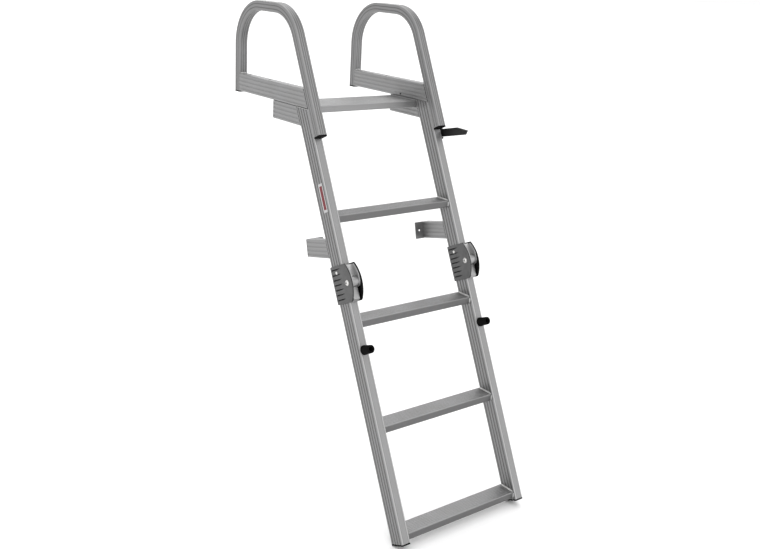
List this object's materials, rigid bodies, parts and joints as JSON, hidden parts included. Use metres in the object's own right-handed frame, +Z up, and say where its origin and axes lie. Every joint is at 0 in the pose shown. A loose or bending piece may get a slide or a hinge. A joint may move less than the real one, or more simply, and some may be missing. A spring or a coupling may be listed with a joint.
{
  "type": "folding boat boarding ladder",
  "caption": "Folding aluminium boat boarding ladder with level steps, hand rails on deck bars, plastic hinge covers, stand-offs, rubber bumpers and a hook latch.",
  "frame": {"origin": "centre of the four deck bolt holes, in the plane of the deck bars' undersides", "axes": "+Z up with the deck bars level, +Y from the water towards the boat, X across the ladder; the rails lean 25.5 degrees, foot towards -Y"},
  "size_m": [0.4662, 0.8953, 1.3399],
  "materials": {
    "aluminium": "satin anodised, ribbed",
    "aluminium_cast": "smooth satin",
    "weld": "as welded",
    "plastic_grey": "moulded, grained",
    "plastic_black": "moulded, satin",
    "rubber": "matt",
    "steel": "stainless",
    "label": "metallised film, blank"
  },
  "bodies": {
    "upper_section": {"rail_upper_left": "aluminium", "rail_upper_right": "aluminium", "step_top": "aluminium", "step_2": "aluminium", "deck_bar_left": "aluminium", "deck_bar_right": "aluminium", "bracket_left": "aluminium", "bracket_right": "aluminium", "bracket_end_plates": "aluminium_cast", "handle_left": "aluminium", "handle_right": "aluminium", "handle_end_caps": "rubber", "handle_foot_caps": "rubber", "standoff_left": "aluminium", "standoff_right": "aluminium", "standoff_plate_left": "aluminium_cast", "standoff_plate_right": "aluminium_cast", "hinge_upper_left": "aluminium_cast", "hinge_upper_right": "aluminium_cast", "cover_left_outer": "plastic_grey", "cover_left_inner": "plastic_black", "cover_right_inner": "plastic_grey", "cover_right_outer": "plastic_black", "pivot_bolts": "steel", "pivot_nuts": "steel", "cover_rivets": "steel", "latch_base": "plastic_black", "latch_pin": "steel", "latch_screws": "steel", "weld_beads_upper": "weld", "label": "label"},
    "lower_section": {"rail_lower_left": "aluminium", "rail_lower_right": "aluminium", "step_3": "aluminium", "step_4": "aluminium", "step_5": "aluminium", "foot_caps": "rubber", "hinge_lower_left": "aluminium_cast", "hinge_lower_right": "aluminium_cast", "bumper_left": "rubber", "bumper_right": "rubber", "bumper_screws": "steel", "weld_beads_lower": "weld"},
    "latch": {"latch_arm": "plastic_black"}
  },
  "joints": [
    {"name": "fold", "type": "hinge", "parent": "upper_section", "child": "lower_section", "pos_m": [0, -0.48809, -0.41892], "axis": [-1, 0, 0], "range_deg": [0, 180]},
    {"name": "latch_swing", "type": "hinge", "parent": "upper_section", "child": "latch", "pos_m": [0.231, -0.29661, -0.08754], "axis": [0, 0.225, 0.9744], "range_deg": [-4.5, 25]}
  ]
}
